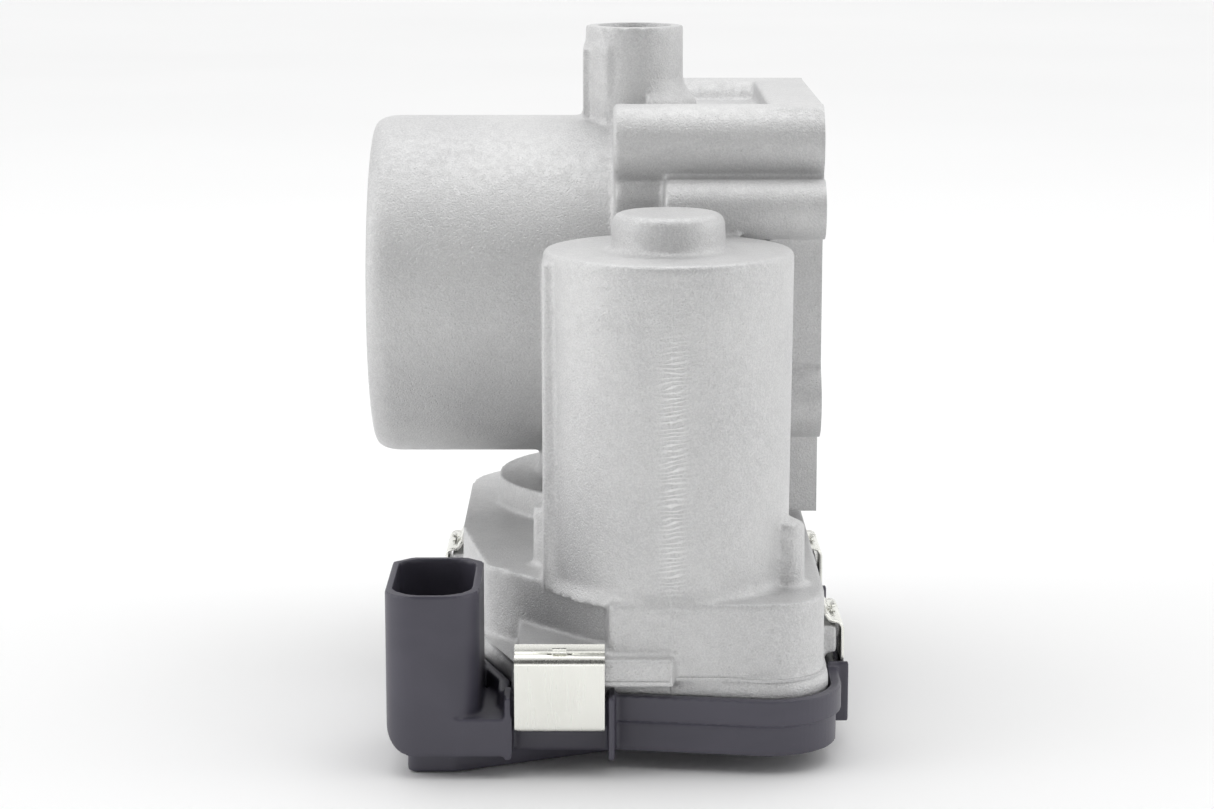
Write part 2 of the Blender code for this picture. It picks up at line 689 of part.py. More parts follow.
def sensor_board():
    board = prism(outline(((15.0, -12.0, 2.0), (15.0, 22.0, 2.0), (-22.0, 22.0, 2.0), (-22.0, -12.0, 2.0))), -61.6, -60.6)
    return cut(board, rod(3.0, -62.0, -60.0, (-18.0, 18.0), segments=16), rod(3.0, -62.0, -60.0, segments=24))


def connector_pin(x, y):
    """A flat blade with a tapered tip."""
    half_x, half_y = PIN_SIZE[0] / 2, PIN_SIZE[1] / 2
    bottom = SOCKET_FLOOR_Z - 1.4
    shoulder = PIN_TOP_Z - 0.8
    blade = [(y - half_y, bottom), (y + half_y, bottom), (y + half_y, shoulder)]
    blade += [(y + 0.3, PIN_TOP_Z), (y - 0.3, PIN_TOP_Z), (y - half_y, shoulder)]
    return prism(blade, x - half_x, x + half_x, "X")


# ---------------------------------------------------------------- throttle


def turned_to_rest(obj):
    obj.data.transform(Matrix.Rotation(REST_ANGLE, 4, "Z"))
    return obj


def plate_screw_holes(radius):
    for z in PLATE_SCREW_Z:
        yield rod(radius, -6.0, 6.0, (0, z), "X", 16)


def throttle_shaft():
    shape = rod(SHAFT_RADIUS, SHAFT_BOTTOM_Z, SHAFT_TOP_Z, segments=32)
    half_slot = PLATE_THICKNESS / 2 + 0.15
    slot = box((-half_slot, half_slot), (-6.0, 6.0), (-PLATE_RADIUS - 0.1, PLATE_RADIUS + 0.1))
    heads = [rod(2.75, -6.0, -2.4, (0, z), "X", 16) for z in PLATE_SCREW_Z]
    return turned_to_rest(cut(shape, slot, *plate_screw_holes(1.6), *heads))


def throttle_plate():
    shape = rod(PLATE_RADIUS, -PLATE_THICKNESS / 2, PLATE_THICKNESS / 2, axis="X", segments=60)
    return turned_to_rest(cut(shape, *plate_screw_holes(1.6)))


def plate_screw(z):
    profile = [(0, -4.1), (2.5, -4.1), (2.5, -2.65), (1.45, -2.65), (1.45, 3.9), (0, 3.9)]
    return turned_to_rest(turned(profile, (0, z), "X", 16))


def throttle_gear():
    numbers = range(-SECTOR_TEETH_BEFORE, SECTOR_TEETH_AFTER + 1)
    sector = gear(FIRST_WHEEL_TEETH, FIRST_MODULE, TO_INTERMEDIATE, SECTOR_Z, (0, 0), numbers)
    hub = rod(HUB_RADIUS, *HUB_Z, segments=32)
    return cut(join(hub, sector), rod(SHAFT_RADIUS + 0.1, HUB_Z[0] - 1, HUB_Z[1] + 1, segments=32))


def sensor_wiper():
    """A carrier disc on the shaft's end with two bent contact fingers."""
    disc = tube(SHAFT_RADIUS + 0.1, 8.4, -58.4, -57.3, segments=32)
    fingers = [box((5.4, 7.4), (side * 2.5 - 0.8, side * 2.5 + 0.8), (-60.2, -58.0)) for side in (-1, 1)]
    return join(disc, *fingers)


def torsion_spring(name, top, turns, look, parent):
    """A curve object: close-wound round wire about the bearing boss."""
    steps_per_turn = 14
    curve = bpy.data.curves.new(name, "CURVE")
    curve.dimensions = "3D"
    curve.bevel_depth = SPRING_WIRE_RADIUS * MM
    curve.bevel_resolution = 1
    curve.use_fill_caps = True
    count = round(turns * steps_per_turn) + 1
    line = curve.splines.new("POLY")
    line.points.add(count - 1)
    pivot = parent.matrix_world.translation / MM + ORIGIN
    for number, point in enumerate(line.points):
        angle = 2 * math.pi * number / steps_per_turn
        place = Vector((*polar((0, 0), SPRING_RADIUS, angle), top - SPRING_PITCH * number / steps_per_turn))
        point.co = (*((place - pivot) * MM), 1)
    curve.materials.append(look)
    made = bpy.data.objects.new(name, curve)
    bpy.context.scene.collection.objects.link(made)
    made.parent = parent
    return made


# ---------------------------------------------------------------- gear train and motor


def intermediate_gear():
    big = gear(SECOND_WHEEL_TEETH, SECOND_MODULE, TO_MOTOR, BIG_WHEEL_Z, INTERMEDIATE)
    half_pitch = math.pi / FIRST_PINION_TEETH
    small = gear(FIRST_PINION_TEETH, FIRST_MODULE, TO_INTERMEDIATE + math.pi + half_pitch, SMALL_WHEEL_Z, INTERMEDIATE)
    return cut(join(big, small), rod(AXLE_RADIUS + RUNNING, -60, -45, INTERMEDIATE, segments=32))


def intermediate_axle():
    return rod(AXLE_RADIUS, COVER_FLOOR_Z + 0.8, CASE_TOP_Z - 1.5, INTERMEDIATE, segments=32)


def motor_can():
    inner = CAN_RADIUS - CAN_WALL
    profile = [(inner, CAN_BOTTOM_Z), (CAN_RADIUS, CAN_BOTTOM_Z), (CAN_RADIUS, CAN_TOP_Z), (5.1, CAN_TOP_Z)]
    profile += [(5.1, 13.4), (2.4, 13.4), (2.4, 12.4), (4.3, 12.4), (4.3, CAN_TOP_Z - CAN_WALL)]
    return turned(profile + [(inner, CAN_TOP_Z - CAN_WALL)], MOTOR, segments=36)


def magnet(side):
    inner, outer = MAGNET_RADII
    profile = [(inner, -24.0), (outer, -24.0), (outer, 2.0), (inner, 2.0)]
    sweep = math.radians(130)
    return turned(profile, MOTOR, "Z", 14, side * math.pi - sweep / 2, sweep)


def end_frame():
    """The motor's steel end plate: a disc with two screw ears."""
    ears = [Vector(MOTOR_SCREW_OFFSET) * side for side in (-1, 1)]
    along = ears[1].normalized()
    across = Vector((-along.y, along.x))
    corners = [ears[0] + along * -2.8 + across * -3.4, ears[0] + along * -2.8 + across * 3.4]
    corners += [ears[1] + along * 2.8 + across * 3.4, ears[1] + along * 2.8 + across * -3.4]
    bar = prism(rounded([(*(MOTOR + corner), 3.0) for corner in reversed(corners)]), *END_FRAME_Z)
    plate = join(rod(14.0, *END_FRAME_Z, MOTOR, segments=36), bar)
    holes = [rod(1.7, -46, -41, place, segments=16) for place in motor_screws()]
    slots = [box((x - 0.9, x + 0.9), (y - 2.9, y + 2.9), (-46, -41)) for x, y in terminal_places()]
    return cut(plate, rod(4.4, -46, -41, MOTOR, segments=24), *holes, *slots)


def terminal_places():
    return [polar(MOTOR, 10.0, math.radians(angle)) for angle in (215.0, 290.0)]


def motor_terminal(place):
    x, y = place
    return box((x - 0.4, x + 0.4), (y - 2.4, y + 2.4), (-59.5, -41.0))


def brush_holder():
    disc = tube(3.0, 15.6, -40.6, -36.6, MOTOR, segments=28)
    x, y = MOTOR
    blocks = []
    channels = []
    for side in (-1, 1):
        span = sorted((x + side * 5.6, x + side * 12.5))
        blocks.append(box(span, (y - 3.4, y + 3.4), (-37.0, -29.0)))
        reach = sorted((x + side * 5.0, x + side * 11.5))
        channels.append(box(reach, (y - 1.9, y + 1.9), (-35.0, -30.8)))
    return cut(join(disc, *blocks), *channels)


def brush(side):
    x, y = MOTOR
    return box(sorted((x + side * 5.15, x + side * 11.2)), (y - 1.7, y + 1.7), (-34.8, -31.0))


def motor_screw(place):
    profile = [(0, -47.0), (3.0, -47.0), (3.0, END_FRAME_Z[0] - GAP), (1.45, END_FRAME_Z[0] - GAP)]
    return turned(profile + [(1.45, -33.6), (0, -33.6)], place, segments=16)


def wave_washer():
    """A ring bent into three shallow waves."""
    shape = tube(6.2, 9.4, 7.95, 8.2, MOTOR, segments=36)
    for vertex in shape.data.vertices:
        angle = math.atan2(vertex.co.y - MOTOR_Y, vertex.co.x - MOTOR_X)
        vertex.co.z += 0.18 * math.sin(3 * angle)
    return shape


def rotor_core():
    """Laminations with open winding slots."""
    shape = []
    pitch = 2 * math.pi / ROTOR_SLOTS
    for number in range(ROTOR_SLOTS):
        middle = number * pitch
        for share in (-0.42, -0.21, 0.0, 0.21, 0.42):
            shape.append(polar(MOTOR, ROTOR_CORE_RADIUS, middle + share * pitch))
        shape.append(polar(MOTOR, 6.5, middle + 0.46 * pitch))
        shape.append(polar(MOTOR, 6.5, middle + 0.54 * pitch))
    core = prism(shape, *ROTOR_CORE_Z)
    return cut(core, rod(ROTOR_SHAFT_RADIUS + 0.1, -23, 1, MOTOR, segments=24))


def winding(low, high):
    """A rounded coil head round the rotor shaft."""
    middle = (low + high) / 2
    profile = [(3.0, low), (9.5, low), (11.0, middle - 1), (11.0, middle + 1), (9.5, high), (3.0, high)]
    return turned(profile, MOTOR, segments=24)


def rotor_pinion():
    half_pitch = math.pi / SECOND_PINION_TEETH
    shape = gear(SECOND_PINION_TEETH, SECOND_MODULE, TO_MOTOR + math.pi + half_pitch, ROTOR_PINION_Z, MOTOR)
    return cut(shape, rod(ROTOR_SHAFT_RADIUS + 0.1, -60, -52, MOTOR, segments=24))


# ---------------------------------------------------------------- assembly


def ring(sizes, inner, centre=(0, 0)):
    outer, low, high = sizes
    return tube(inner, outer, low, high, centre, segments=28)


def build_fixed(root, looks):
    finish(throttle_housing(), "throttle_housing", looks["casting"], root)
    finish(gear_cover(), "gear_cover", looks["cover"], root)
    finish(cover_seal(), "cover_seal", looks["seal"], root)
    for name, place, heading in clip_places():
        finish(clip(place, heading), name, looks["spring_steel"], root)
    finish(ring(UPPER_BEARING, SHAFT_RADIUS + RUNNING), "upper_bearing", looks["steel"], root)
    finish(ring(LOWER_BEARING, SHAFT_RADIUS + RUNNING), "lower_bearing", looks["steel"], root)
    finish(ring(UPPER_SEAL, SHAFT_RADIUS + RUNNING), "upper_seal", looks["seal"], root)
    finish(ring(LOWER_SEAL, SHAFT_RADIUS + RUNNING), "lower_seal", looks["seal"], root)
    plug = END_PLUG
    finish(rod(plug[0], plug[1], plug[2], segments=32), "end_plug", looks["steel"], root)
    torsion_spring("return_spring", RETURN_SPRING_TOP_Z, RETURN_SPRING_TURNS, looks["spring_steel"], root)
    torsion_spring("limp_home_spring", LIMP_SPRING_TOP_Z, LIMP_SPRING_TURNS, looks["spring_steel"], root)
    finish(sensor_board(), "sensor_board", looks["board"], root)
    finish(intermediate_axle(), "intermediate_axle", looks["steel"], root)
    pins = [(x, y) for x in PIN_ROWS_X for y in PIN_COLUMNS_Y]
    for number, (x, y) in enumerate(pins, 1):
        finish(connector_pin(x, y), f"connector_pin_{number}", looks["tinned"], root)


def build_motor(root, looks):
    finish(motor_can(), "motor_can", looks["steel"], root)
    for name, side in (("magnet_right", 0), ("magnet_left", 1)):
        finish(magnet(side), name, looks["magnet"], root)
    finish(end_frame(), "motor_end_frame", looks["steel"], root)
    finish(brush_holder(), "brush_holder", looks["cover"], root)
    for name, side in (("brush_left", -1), ("brush_right", 1)):
        finish(brush(side), name, looks["carbon"], root)
    for name, place in zip(("motor_terminal_1", "motor_terminal_2"), terminal_places()):
        finish(motor_terminal(place), name, looks["tinned"], root)
    for name, place in zip(("motor_screw_left", "motor_screw_right"), motor_screws()):
        finish(motor_screw(place), name, looks["steel"], root)
    bush = ROTOR_SHAFT_RADIUS + RUNNING
    finish(tube(bush, 4.1, 8.0, 12.1, MOTOR, segments=24), "motor_bush_upper", looks["bronze"], root)
    finish(tube(bush, 4.1, -45.6, -41.6, MOTOR, segments=24), "motor_bush_lower", looks["bronze"], root)
    finish(wave_washer(), "wave_washer", looks["spring_steel"], root)


def build_throttle(pivot, looks):
    finish(throttle_shaft(), "throttle_shaft", looks["steel"], pivot)
    finish(throttle_plate(), "throttle_plate", looks["brass"], pivot)
    for name, z in zip(("plate_screw_lower", "plate_screw_upper"), PLATE_SCREW_Z):
        finish(plate_screw(z), name, looks["steel"], pivot)
    finish(throttle_gear(), "throttle_gear", looks["gear_plastic"], pivot)
    finish(sensor_wiper(), "sensor_wiper", looks["tinned"], pivot)


def build_rotor(pivot, looks):
    finish(rod(ROTOR_SHAFT_RADIUS, -59.4, 12.0, MOTOR, segments=24), "rotor_shaft", looks["steel"], pivot)
    finish(rotor_core(), "rotor_core", looks["steel"], pivot)
    finish(winding(ROTOR_CORE_Z[1] + GAP, 4.6), "winding_upper", looks["copper"], pivot)
    finish(winding(-26.6, ROTOR_CORE_Z[0] - GAP), "winding_lower", looks["copper"], pivot)
    low, high = COMMUTATOR_Z
    commutator = tube(ROTOR_SHAFT_RADIUS + 0.1, COMMUTATOR_RADIUS, low, high, MOTOR, segments=32)
    finish(commutator, "commutator", looks["copper"], pivot)
    finish(rotor_pinion(), "rotor_pinion", looks["steel"], pivot)


def make_looks():
    return {
        "casting": material("cast_aluminium", (0.60, 0.60, 0.61), 0.9, 0.5),
        "cover": material("black_plastic", (0.055, 0.052, 0.068), 0.0, 0.45),
        "seal": material("seal_rubber", (0.02, 0.02, 0.02), 0.0, 0.7),
        "spring_steel": material("spring_steel", (0.80, 0.79, 0.74), 1.0, 0.25),
        "steel": material("steel", (0.55, 0.55, 0.56), 1.0, 0.35),
        "brass": material("plate_brass", (0.72, 0.58, 0.32), 1.0, 0.35),
        "gear_plastic": material("gear_plastic", (0.75, 0.72, 0.62), 0.0, 0.5),
        "board": material("sensor_board", (0.05, 0.22, 0.08), 0.0, 0.5),
        "tinned": material("tinned_contact", (0.75, 0.74, 0.70), 1.0, 0.3),
        "magnet": material("ferrite", (0.06, 0.06, 0.065), 0.1, 0.6),
        "carbon": material("brush_carbon", (0.03, 0.03, 0.03), 0.1, 0.7),
        "bronze": material("sintered_bronze", (0.55, 0.36, 0.16), 1.0, 0.5),
        "copper": material("copper", (0.72, 0.33, 0.16), 1.0, 0.35),
    }


def main():
    clear_scene()
    looks = make_looks()
    root = empty("throttle_body", ORIGIN)
    build_fixed(root, looks)
    build_motor(root, looks)
    build_throttle(empty("throttle_axis", (0, 0, 0)), looks)
    finish(intermediate_gear(), "intermediate_gear", looks["gear_plastic"], empty("intermediate_axis", (*INTERMEDIATE, 0)))
    build_rotor(empty("rotor_axis", (*MOTOR, 0)), looks)


main()
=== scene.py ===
import json
import math

import bmesh
import bpy
import numpy as np
from mathutils import Matrix, Vector


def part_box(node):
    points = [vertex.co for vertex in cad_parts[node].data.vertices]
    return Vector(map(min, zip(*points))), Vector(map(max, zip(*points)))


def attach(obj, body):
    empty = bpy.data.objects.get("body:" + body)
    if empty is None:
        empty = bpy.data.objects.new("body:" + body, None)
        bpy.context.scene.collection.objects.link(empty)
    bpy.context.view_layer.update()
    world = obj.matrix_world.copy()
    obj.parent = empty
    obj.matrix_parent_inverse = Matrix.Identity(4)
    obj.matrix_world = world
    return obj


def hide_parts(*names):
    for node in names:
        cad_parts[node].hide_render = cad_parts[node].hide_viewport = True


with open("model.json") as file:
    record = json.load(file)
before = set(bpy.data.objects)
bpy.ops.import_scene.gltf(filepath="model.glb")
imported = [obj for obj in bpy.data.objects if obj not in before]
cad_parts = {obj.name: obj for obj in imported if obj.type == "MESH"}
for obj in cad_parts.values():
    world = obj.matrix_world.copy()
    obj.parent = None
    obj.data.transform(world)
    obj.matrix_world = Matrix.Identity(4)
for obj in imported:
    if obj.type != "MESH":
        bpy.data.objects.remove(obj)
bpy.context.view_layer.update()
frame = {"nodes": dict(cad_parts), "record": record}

MM = 0.001

# Design frame in millimetres: the origin is where the shaft axis crosses the bore axis
shaft_low, shaft_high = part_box("throttle_shaft")
ORIGIN = Vector(((shaft_low.x + shaft_high.x) / 2, (shaft_low.y + shaft_high.y) / 2, shaft_high.z - 37 * MM))
TO_WORLD = Matrix.Translation(ORIGIN) @ Matrix.Scale(MM, 4)
REST_ANGLE = math.radians(7.0)
BODY_START_X = -3.5
DUCT_FACE_X = -46.0
FLANGE_FACE_X = 31.5
FLANGE_STOCK_X = 33.0
BOLT_Y = (-28.0, 28.0)
THROUGH_BOLT_Z = 28.0
TAPPED_BOLT_Z = -16.0
MOTOR = (5.0, -55.0)
MOTOR_TOP_Z = 13.6
MOTOR_SCREWS = ((-1, (-14.2, -48.6)), (1, (24.2, -61.4)))
AXLE = tuple((sum(side) / 2 - middle) / MM for *side, middle in zip(*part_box("intermediate_axle"), ORIGIN))[:2]
CASE_ROOF_Z = -42.4
CASE_SHELL_Z = -41.0
LUG_Z = (-52.8, -48.2)
COVER_BASE_Z = -64.0
PLATE_SCREWS_Z = (-12.0, 12.0)
PLATE_SCREW_HOLE = 1.6
CLIP_THICKNESS = 0.5
CLIP_HALF_WIDTH = 7.1
PINS = [(x, y) for x in (-34.5, -30.2) for y in (-72.5, -67.0, -61.5)]
SMOOTH_ANGLE = 40
CAST_SMOOTH_ANGLE = 42

CASE = (
    (30.0, -75.3, 9.5),
    (30.0, 30.0, 22.0),
    (-30.0, 30.0, 15.0),
    (-30.0, -22.0, 8.0),
    (-25.0, -48.5, 3.0),
    (-4.7, -71.5, 1.6),
    (-4.7, -75.3, 0.8),
)
LEDGE = (
    (30.0, -77.5, 9.2),
    (30.0, 30.0, 22.0),
    (-30.0, 30.0, 15.0),
    (-30.0, -22.0, 8.0),
    (-25.0, -50.0, 3.0),
    (-19.4, -66.0, 3.0),
    (-19.4, -72.6, 1.0),
    (-3.0, -72.6, 4.0),
)
SHELF = ((-19.3, -74.5), (-3.5, -74.5), (-3.5, -70.0), (-19.3, -54.0))
FOOT = (
    (28.0, -51.0, 6.0),
    (28.0, 24.0, 18.0),
    (-26.0, 24.0, 12.0),
    (-31.0, -50.0, 4.0),
    (-36.5, -60.0, 4.0),
    (-36.5, -76.5, 2.0),
    (-29.0, -76.5, 2.0),
)
CLIPS = (
    ("clip_front", (-12.3, -78.1), -90),
    ("clip_right_front", (32.8, -50.0), 0),
    ("clip_right_rear", (32.8, 0.0), 0),
    ("clip_left", (-32.8, 0.0), 180),
    ("clip_rear", (0.0, 32.8), 90),
)


# ---------------------------------------------------------------- solids, in millimetres


def solid(shape, name="solid"):
    bmesh.ops.remove_doubles(shape, verts=shape.verts, dist=0.0005)
    bmesh.ops.recalc_face_normals(shape, faces=shape.faces)
    mesh = bpy.data.meshes.new(name)
    shape.to_mesh(mesh)
    shape.free()
    made = bpy.data.objects.new(name, mesh)
    bpy.context.scene.collection.objects.link(made)
    return made


def prism(outline, start, end, axis="Z"):
    """The outline pushed from start to end. Along X the outline is (y, z), and along Y it is (x, z)."""
    shape = bmesh.new()
    places = {
        "X": lambda a, b, along: (along, a, b),
        "Y": lambda a, b, along: (a, along, b),
        "Z": lambda a, b, along: (a, b, along),
    }
    place = places[axis]
    first = [shape.verts.new(place(a, b, start)) for a, b in outline]
    second = [shape.verts.new(place(a, b, end)) for a, b in outline]
    shape.faces.new(first)
    shape.faces.new(second)
    for index in range(len(first)):
        shape.faces.new((first[index - 1], first[index], second[index], second[index - 1]))
    return solid(shape)


def box(x, y, z):
    return prism([(x[0], y[0]), (x[1], y[0]), (x[1], y[1]), (x[0], y[1])], z[0], z[1])


def turned(profile, centre=(0, 0), axis="Z", segments=96, start=0.0, sweep=2 * math.pi):
    """A closed (radius, height) profile turned about the axis through centre."""
    shape = bmesh.new()
    corners = [shape.verts.new((radius, 0, height)) for radius, height in profile]
    sides = [pair for pair in zip(corners, corners[1:] + corners[:1]) if pair[0].co.x + pair[1].co.x > 0]
    edges = [shape.edges.new(pair) for pair in sides]
    full = sweep > 2 * math.pi - 0.001
    bmesh.ops.spin(
        shape,
        geom=corners + edges,
        cent=(0, 0, 0),
        axis=(0, 0, 1),
        angle=sweep,
        steps=segments,
        use_merge=full,
    )
    if not full:
        bmesh.ops.holes_fill(shape, edges=[edge for edge in shape.edges if edge.is_boundary], sides=0)
    made = solid(shape)
    made.data.transform(Matrix.Rotation(start, 4, "Z"))
    if axis == "X":
        made.data.transform(Matrix.Rotation(math.pi / 2, 4, "Y"))
        made.data.transform(Matrix.Translation((0, centre[0], centre[1])))
    else:
        made.data.transform(Matrix.Translation((centre[0], centre[1], 0)))
    return made


def rod(radius, start, end, centre=(0, 0), axis="Z", segments=64):
    return turned([(0, start), (radius, start), (radius, end), (0, end)], centre, axis, segments)


def tube(inner, outer, start, end, centre=(0, 0), segments=64):
    return turned([(inner, start), (outer, start), (outer, end), (inner, end)], centre, segments=segments)


def merged(*pieces):
    """One mesh of several closed shells that overlap."""
    shape = bmesh.new()
    for piece in pieces:
        shape.from_mesh(piece.data)
        bpy.data.objects.remove(piece)
    mesh = bpy.data.meshes.new("merged")
    shape.to_mesh(mesh)
    shape.free()
    made = bpy.data.objects.new("merged", mesh)
    bpy.context.scene.collection.objects.link(made)
    return made


def applied(obj, kind, **settings):
    modifier = obj.modifiers.new(kind, kind)
    for key, value in settings.items():
        setattr(modifier, key, value)
    evaluated = obj.evaluated_get(bpy.context.evaluated_depsgraph_get())
    mesh = bpy.data.meshes.new_from_object(evaluated)
    obj.modifiers.clear()
    obj.data = mesh
    return obj


def combine(target, tools, operation, solver="EXACT"):
    group = bpy.data.collections.new("tools")
    for tool in tools:
        group.objects.link(tool)
    applied(
        target, "BOOLEAN", operation=operation, solver=solver, operand_type="COLLECTION", collection=group
    )
    for tool in tools:
        bpy.data.objects.remove(tool)
    bpy.data.collections.remove(group)
    return target


def join(target, *tools):
    return combine(target, tools, "UNION")


def cut(target, *tools):
    return combine(target, tools, "DIFFERENCE")


def carve(target, tool):
    """Cuts a dense closed mesh with one closed tool."""
    applied(target, "BOOLEAN", operation="DIFFERENCE", solver="MANIFOLD", object=tool)
    bpy.data.objects.remove(tool)
    return target


def softened(obj, voxel, rounds, triangles):
    """Blends a union of shells into one skin whose corners are rounded, and thins out its flat parts."""
    applied(obj, "REMESH", mode="VOXEL", voxel_size=voxel)
    applied(obj, "SMOOTH", factor=0.5, iterations=rounds)
    count = 2 * len(obj.data.polygons)
    if count > triangles:
        applied(obj, "DECIMATE", ratio=triangles / count)
    return obj


# ---------------------------------------------------------------- outlines


def offset_corners(corners, distance):
    moved = []
    for index, (x, y, radius) in enumerate(corners):
        here = Vector((x, y))
        before = (here - Vector(corners[index - 1][:2])).normalized()
        after = (Vector(corners[(index + 1) % len(corners)][:2]) - here).normalized()
        turn = before.cross(after)
        reach = distance * (after - before) / turn
        sign = 1 if turn > 0 else -1
        moved.append((x - reach.x, y - reach.y, max(radius + sign * distance, 0.3)))
    return moved


def rounded(corners, step=math.radians(5)):
    points = []
    for index, (x, y, radius) in enumerate(corners):
        here = Vector((x, y))
        before = (Vector(corners[index - 1][:2]) - here).normalized()
        after = (Vector(corners[(index + 1) % len(corners)][:2]) - here).normalized()
        half = before.angle(after) / 2
        centre = here + (before + after).normalized() * radius / math.sin(half)
        first = here + before * radius / math.tan(half) - centre
        sweep = first.angle_signed(here + after * radius / math.tan(half) - centre)
        count = max(2, round(abs(sweep) / step))
        for number in range(count + 1):
            spoke = first.copy()
            spoke.rotate(Matrix.Rotation(-sweep * number / count, 2))
            points.append(tuple(centre + spoke))
    return points


def outline(corners, distance=0.0):
    return rounded(offset_corners(corners, distance))


def bent_path(path, radius):
    """A path whose inner corners are replaced by arcs."""
    points = [Vector(path[0])]
    for before, here, after in zip(path, path[1:], path[2:]):
        here = Vector(here)
        back = Vector(before) - here
        on = Vector(after) - here
        reach = min(radius, 0.45 * back.length, 0.45 * on.length)
        start, end = here + back.normalized() * reach, here + on.normalized() * reach
        for number in range(7):
            t = number / 6
            points.append(start * (1 - t) ** 2 + here * 2 * t * (1 - t) + end * t**2)
    return points + [Vector(path[-1])]


def ribbon(path, thickness):
    """The outline of a bent strip of even thickness that follows a path."""
    left, right = [], []
    for index, here in enumerate(path):
        before = (here - path[index - 1]).normalized() if index else (path[1] - here).normalized()
        after = (path[index + 1] - here).normalized() if index + 1 < len(path) else before
        normal = Vector((-(before + after).y, (before + after).x)).normalized()
        reach = thickness / 2 / max(0.5, normal.dot(Vector((-after.y, after.x))))
        left.append(tuple(here + normal * reach))
        right.append(tuple(here - normal * reach))
    return left + right[::-1]


# ---------------------------------------------------------------- casting


def rough_casting():
    """The cast shapes before machining, as shells that overlap."""
    turns = np.linspace(0, math.pi / 2, 9)
    lip = [(28.0 + 2.0 * math.sin(t), DUCT_FACE_X + 4.2 * (1 - math.cos(t))) for t in turns]
    yield turned([(0, DUCT_FACE_X)] + lip + [(30.0, 23.5), (0, 23.5)], axis="X", segments=180)
    flange = [(31.0, 34.3), (31.0, -10.0), (24.6, -21.0), (24.6, -36.5)]
    yield prism(flange + [(-y, z) for y, z in reversed(flange)], 22.5, FLANGE_STOCK_X, "X")
    block = [(30.4, 30.8), (30.4, 19.0), (25.5, 7.0)]
    yield prism(block + [(-y, z) for y, z in reversed(block)], BODY_START_X, 31.0, "X")
    for y in BOLT_Y:
        yield rod(6.5, BODY_START_X - 0.3, FLANGE_STOCK_X, (y, THROUGH_BOLT_Z), "X")
        yield rod(6.5, 8.0, FLANGE_STOCK_X, (y, TAPPED_BOLT_Z), "X")
    yield rod(5.0, 4.75, FLANGE_STOCK_X, (-35.0, 17.5), "X")
    yield box((4.9, 32.8), (-35.0, -27.0), (12.6, 22.4))
    yield turned([(0, 27), (8.9, 27), (8.9, 33), (8.6, 36.4), (8.6, 46), (0, 46)])
    foot = [(5.0, 27), (11.4, 30.8), (10.8, 33.2), (9.4, 34.6), (8.7, 36.4), (5.0, 36.4)]
    yield turned(foot, segments=40, start=math.radians(-75), sweep=math.radians(150))
    yield box((-9.1, -3.0), (-4.5, 4.5), (28.0, 42.0))
    sector = [(5.0, 27.0), (9.05, 27.0), (9.0, 42.7), (5.0, 42.7)]
    yield turned(sector, segments=40, start=math.radians(95), sweep=math.radians(145))
    yield rod(24.4, CASE_SHELL_Z, -34.4, segments=120)
    yield turned([(0, -36), (18.2, -34.8), (17.2, -33.0), (17.0, -23.3), (0, -23.3)], segments=100)
    side = [(0, CASE_SHELL_Z), (20.9, CASE_SHELL_Z), (19.7, -38.6)]
    side += [(20.2, MOTOR_TOP_Z - 0.7), (20.0, MOTOR_TOP_Z - 0.2), (19.7, MOTOR_TOP_Z)]
    cap = [(9.9, MOTOR_TOP_Z), (9.2, 14.2), (9.1, 18.0), (8.7, 19.0), (7.9, 19.5), (0, 19.5)]
    yield turned(side + cap, MOTOR, segments=140)
    yield box((-15.2, -9.0), (-63.4, -50.0), (CASE_SHELL_Z, 12.2))
    yield box((-15.2, 20.0), (-50.5, -20.0), (CASE_SHELL_Z, 8.0))
    for side, place in MOTOR_SCREWS:
        tip = -28.6 if side > 0 else -30.0
        yield turned([(0, CASE_SHELL_Z), (3.4, CASE_SHELL_Z), (2.9, -39), (2.8, -30.0), (0, tip)], place)
    yield prism(outline(CASE), -52.6, -40.0)
    yield prism(SHELF, -52.7, -48.0)
    yield prism(outline(LEDGE, 0.12), -54.5, -51.9)
    yield prism(outline(LEDGE, 0.7), -55.8, -53.1)
    yield box((-19.4, 5.8), (-78.1, -72.8), LUG_Z)
    for _, place, heading in CLIPS[1:]:
        yield placed(box((-4.8, 0.0), (-7.6, 7.6), LUG_Z), place, heading)


def placed(obj, place, heading):
    obj.data.transform(Matrix.Rotation(math.radians(heading), 4, "Z"))
    obj.data.transform(Matrix.Translation((*place, 0)))
    return obj


